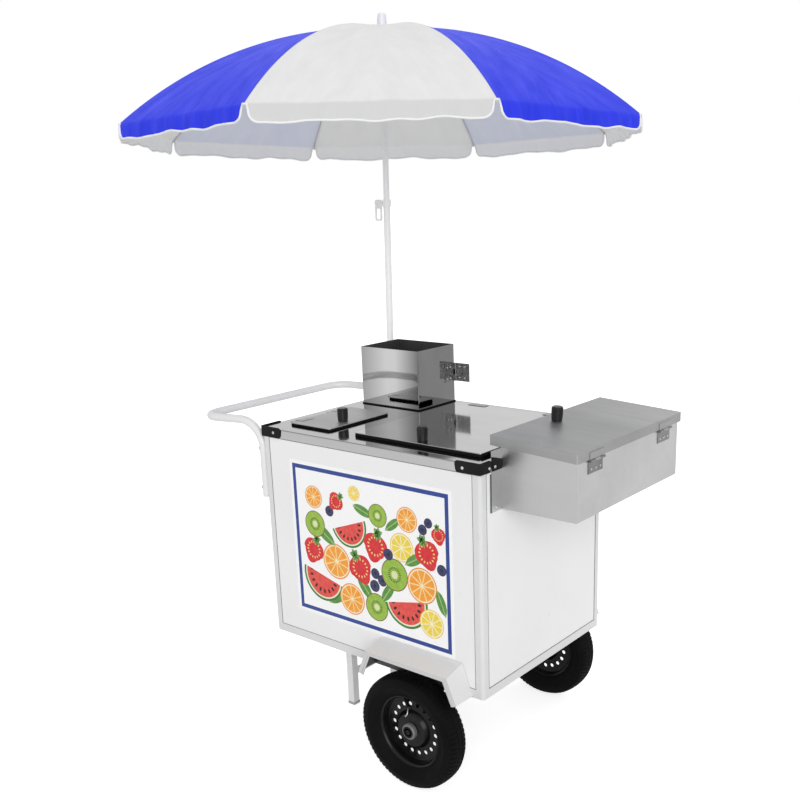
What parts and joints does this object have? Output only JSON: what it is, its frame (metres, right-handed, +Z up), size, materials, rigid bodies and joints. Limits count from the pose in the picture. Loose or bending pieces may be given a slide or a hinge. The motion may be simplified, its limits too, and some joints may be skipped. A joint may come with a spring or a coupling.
{
  "type": "fruit salad cart",
  "caption": "White street vending cart with polished steel counter, hinged tub lids, cup holder, side box, push handle, wheels, legs and a folding octagonal umbrella.",
  "frame": {"origin": "on the floor under the middle of the body", "axes": "+Z up, -Y toward the large printed face, -X toward the push handle, +X toward the side box"},
  "size_m": [1.804, 1.5532, 2.1421],
  "materials": {
    "polished_steel": "mirror polished sheet",
    "hinge_steel": "satin",
    "panel_white": "satin white",
    "frame_white": "gloss white",
    "bracket_black": "satin black",
    "knob_black": "semi-gloss black",
    "seal_rubber": "matt black",
    "tyre": "matt black",
    "rim_black": "gloss black",
    "cap_grey": "satin grey",
    "umbrella_plastic": "white moulded",
    "rib_wire": "white coated wire",
    "canopy_cloth": "blue and white panels"
  },
  "bodies": {
    "cart": {"counter_top": "polished_steel", "front_panel": "panel_white", "back_panel": "panel_white", "handle_end_panel": "panel_white", "box_end_panel": "panel_white", "corner_posts": "frame_white", "bottom_rails": "frame_white", "floor_panel": "panel_white", "corner_brackets": "bracket_black", "large_tub": "polished_steel", "small_tub": "polished_steel", "push_handle": "frame_white", "axle": "bracket_black", "axle_hangers": "bracket_black", "fenders": "frame_white", "leg_frame": "frame_white", "cup_holder": "polished_steel", "side_box": "polished_steel", "fixed_hinge_leaves": "hinge_steel", "pole_socket": "frame_white"},
    "near_wheel": {"near_tyre": "tyre", "near_rim": "rim_black", "near_hub_cap": "cap_grey"},
    "far_wheel": {"far_tyre": "tyre", "far_rim": "rim_black", "far_hub_cap": "cap_grey"},
    "small_lid_body": {"small_lid": "polished_steel", "small_lid_seal": "seal_rubber", "small_lid_knob": "knob_black", "small_lid_leaves": "hinge_steel"},
    "large_lid_body": {"large_lid": "polished_steel", "large_lid_seal": "seal_rubber", "large_lid_knob": "knob_black", "large_lid_leaves": "hinge_steel"},
    "side_lid_body": {"side_lid": "polished_steel", "side_lid_knob": "knob_black", "side_lid_leaves": "hinge_steel"},
    "loose_leaf_body": {"holder_loose_leaf": "hinge_steel"},
    "lower_pole_body": {"lower_pole": "frame_white"},
    "lock_body": {"lock_clip": "umbrella_plastic"},
    "upper_pole_body": {"upper_pole": "frame_white", "crown": "umbrella_plastic", "canopy": "canopy_cloth"},
    "runner_body": {"runner": "umbrella_plastic"},
    "rib_1_body": {"rib_1": "rib_wire"},
    "stretcher_1_body": {"stretcher_1": "rib_wire"},
    "rib_2_body": {"rib_2": "rib_wire"},
    "stretcher_2_body": {"stretcher_2": "rib_wire"},
    "rib_3_body": {"rib_3": "rib_wire"},
    "stretcher_3_body": {"stretcher_3": "rib_wire"},
    "rib_4_body": {"rib_4": "rib_wire"},
    "stretcher_4_body": {"stretcher_4": "rib_wire"},
    "rib_5_body": {"rib_5": "rib_wire"},
    "stretcher_5_body": {"stretcher_5": "rib_wire"},
    "rib_6_body": {"rib_6": "rib_wire"},
    "stretcher_6_body": {"stretcher_6": "rib_wire"},
    "rib_7_body": {"rib_7": "rib_wire"},
    "stretcher_7_body": {"stretcher_7": "rib_wire"},
    "rib_8_body": {"rib_8": "rib_wire"},
    "stretcher_8_body": {"stretcher_8": "rib_wire"}
  },
  "joints": [
    {"name": "near_wheel_spin", "type": "hinge", "parent": "cart", "child": "near_wheel", "pos_m": [0.183, -0.341, 0.168], "axis": [0, 1, 0], "continuous": true},
    {"name": "far_wheel_spin", "type": "hinge", "parent": "cart", "child": "far_wheel", "pos_m": [0.183, 0.341, 0.168], "axis": [0, 1, 0], "continuous": true},
    {"name": "small_lid_open", "type": "hinge", "parent": "cart", "child": "small_lid_body", "pos_m": [-0.3465, -0.112, 0.9605], "axis": [0, -1, 0], "range_deg": [0, 105]},
    {"name": "large_lid_open", "type": "hinge", "parent": "cart", "child": "large_lid_body", "pos_m": [0.139, 0.2495, 0.9605], "axis": [-1, 0, 0], "range_deg": [0, 100]},
    {"name": "side_lid_open", "type": "hinge", "parent": "cart", "child": "side_lid_body", "pos_m": [0.6295, 0.0615, 0.9667], "axis": [0, 1, 0], "range_deg": [0, 100]},
    {"name": "loose_leaf_swing", "type": "hinge", "parent": "cart", "child": "loose_leaf_body", "pos_m": [-0.1285, 0.291, 1.052], "axis": [0, 0, 1], "range_deg": [-85, 90]},
    {"name": "umbrella_lift", "type": "slide", "parent": "cart", "child": "lower_pole_body", "axis": [-0.0122, 0.0349, 0.9993], "range_m": [0, 0.25]},
    {"name": "lock_pull", "type": "slide", "parent": "lower_pole_body", "child": "lock_body", "axis": [-0.7693, -0.6387, 0.0129], "range_m": [0, 0.012]},
    {"name": "pole_extension", "type": "slide", "parent": "lower_pole_body", "child": "upper_pole_body", "axis": [-0.0122, 0.0349, 0.9993], "range_m": [0, 0.2]},
    {"name": "canopy_fold", "type": "slide", "parent": "upper_pole_body", "child": "runner_body", "axis": [0.0122, -0.0349, -0.9993], "range_m": [0, 0.2922], "deforming": ["canopy"]},
    {"name": "rib_1_fold", "type": "hinge", "parent": "upper_pole_body", "child": "rib_1_body", "pos_m": [-0.37807, 0.29416, 2.09283], "axis": [0.4787, 0.8777, -0.0248], "range_deg": [0, 64.2]},
    {"name": "stretcher_1_fold", "type": "hinge", "parent": "runner_body", "child": "stretcher_1_body", "pos_m": [-0.38004, 0.28539, 1.93], "axis": [-0.4787, -0.8777, 0.0248], "range_deg": [0, 40.6]},
    {"name": "rib_2_fold", "type": "hinge", "parent": "upper_pole_body", "child": "rib_2_body", "pos_m": [-0.37628, 0.31089, 2.09227], "axis": [-0.2823, 0.9586, -0.0369], "range_deg": [0, 64.2]},
    {"name": "stretcher_2_fold", "type": "hinge", "parent": "runner_body", "child": "stretcher_2_body", "pos_m": [-0.37491, 0.30023, 1.92954], "axis": [0.2823, -0.9586, 0.0369], "range_deg": [0, 40.6]},
    {"name": "rib_3_fold", "type": "hinge", "parent": "upper_pole_body", "child": "rib_3_body", "pos_m": [-0.38685, 0.32399, 2.09168], "axis": [-0.8779, 0.478, -0.0274], "range_deg": [0, 64.2]},
    {"name": "stretcher_3_fold", "type": "hinge", "parent": "runner_body", "child": "stretcher_3_body", "pos_m": [-0.38178, 0.31434, 1.92896], "axis": [0.8779, -0.478, 0.0274], "range_deg": [0, 40.6]},
    {"name": "rib_4_fold", "type": "hinge", "parent": "upper_pole_body", "child": "rib_4_body", "pos_m": [-0.40359, 0.32577, 2.09142], "axis": [-0.9592, -0.2826, -0.0019], "range_deg": [0, 64.2]},
    {"name": "stretcher_4_fold", "type": "hinge", "parent": "runner_body", "child": "stretcher_4_body", "pos_m": [-0.39663, 0.31946, 1.9286], "axis": [0.9592, 0.2826, 0.0019], "range_deg": [0, 40.6]},
    {"name": "rib_5_fold", "type": "hinge", "parent": "upper_pole_body", "child": "rib_5_body", "pos_m": [-0.4167, 0.3152, 2.09163], "axis": [-0.4787, -0.8777, 0.0248], "range_deg": [0, 64.2]},
    {"name": "stretcher_5_fold", "type": "hinge", "parent": "runner_body", "child": "stretcher_5_body", "pos_m": [-0.41075, 0.31259, 1.92867], "axis": [0.4787, 0.8777, -0.0248], "range_deg": [0, 40.6]},
    {"name": "rib_6_fold", "type": "hinge", "parent": "upper_pole_body", "child": "rib_6_body", "pos_m": [-0.41849, 0.29846, 2.09219], "axis": [0.2823, -0.9586, 0.0369], "range_deg": [0, 64.2]},
    {"name": "stretcher_6_fold", "type": "hinge", "parent": "runner_body", "child": "stretcher_6_body", "pos_m": [-0.41588, 0.29775, 1.92913], "axis": [-0.2823, 0.9586, -0.0369], "range_deg": [0, 40.6]},
    {"name": "rib_7_fold", "type": "hinge", "parent": "upper_pole_body", "child": "rib_7_body", "pos_m": [-0.40791, 0.28537, 2.09278], "axis": [0.8779, -0.478, 0.0274], "range_deg": [0, 64.2]},
    {"name": "stretcher_7_fold", "type": "hinge", "parent": "runner_body", "child": "stretcher_7_body", "pos_m": [-0.409, 0.28364, 1.9297], "axis": [-0.8779, 0.478, -0.0274], "range_deg": [0, 40.6]},
    {"name": "rib_8_fold", "type": "hinge", "parent": "upper_pole_body", "child": "rib_8_body", "pos_m": [-0.39117, 0.28359, 2.09304], "axis": [0.9592, 0.2826, 0.0019], "range_deg": [0, 64.2]},
    {"name": "stretcher_8_fold", "type": "hinge", "parent": "runner_body", "child": "stretcher_8_body", "pos_m": [-0.39416, 0.27852, 1.93006], "axis": [-0.9592, -0.2826, -0.0019], "range_deg": [0, 40.6]}
  ],
  "couplings": [
    {"joint": "rib_1_fold", "follows": "canopy_fold", "rad_per_m": 3.8228},
    {"joint": "stretcher_1_fold", "follows": "canopy_fold", "rad_per_m": 2.4108},
    {"joint": "rib_2_fold", "follows": "canopy_fold", "rad_per_m": 3.8228},
    {"joint": "stretcher_2_fold", "follows": "canopy_fold", "rad_per_m": 2.4108},
    {"joint": "rib_3_fold", "follows": "canopy_fold", "rad_per_m": 3.8228},
    {"joint": "stretcher_3_fold", "follows": "canopy_fold", "rad_per_m": 2.4108},
    {"joint": "rib_4_fold", "follows": "canopy_fold", "rad_per_m": 3.8228},
    {"joint": "stretcher_4_fold", "follows": "canopy_fold", "rad_per_m": 2.4108},
    {"joint": "rib_5_fold", "follows": "canopy_fold", "rad_per_m": 3.8228},
    {"joint": "stretcher_5_fold", "follows": "canopy_fold", "rad_per_m": 2.4108},
    {"joint": "rib_6_fold", "follows": "canopy_fold", "rad_per_m": 3.8228},
    {"joint": "stretcher_6_fold", "follows": "canopy_fold", "rad_per_m": 2.4108},
    {"joint": "rib_7_fold", "follows": "canopy_fold", "rad_per_m": 3.8228},
    {"joint": "stretcher_7_fold", "follows": "canopy_fold", "rad_per_m": 2.4108},
    {"joint": "rib_8_fold", "follows": "canopy_fold", "rad_per_m": 3.8228},
    {"joint": "stretcher_8_fold", "follows": "canopy_fold", "rad_per_m": 2.4108}
  ]
}
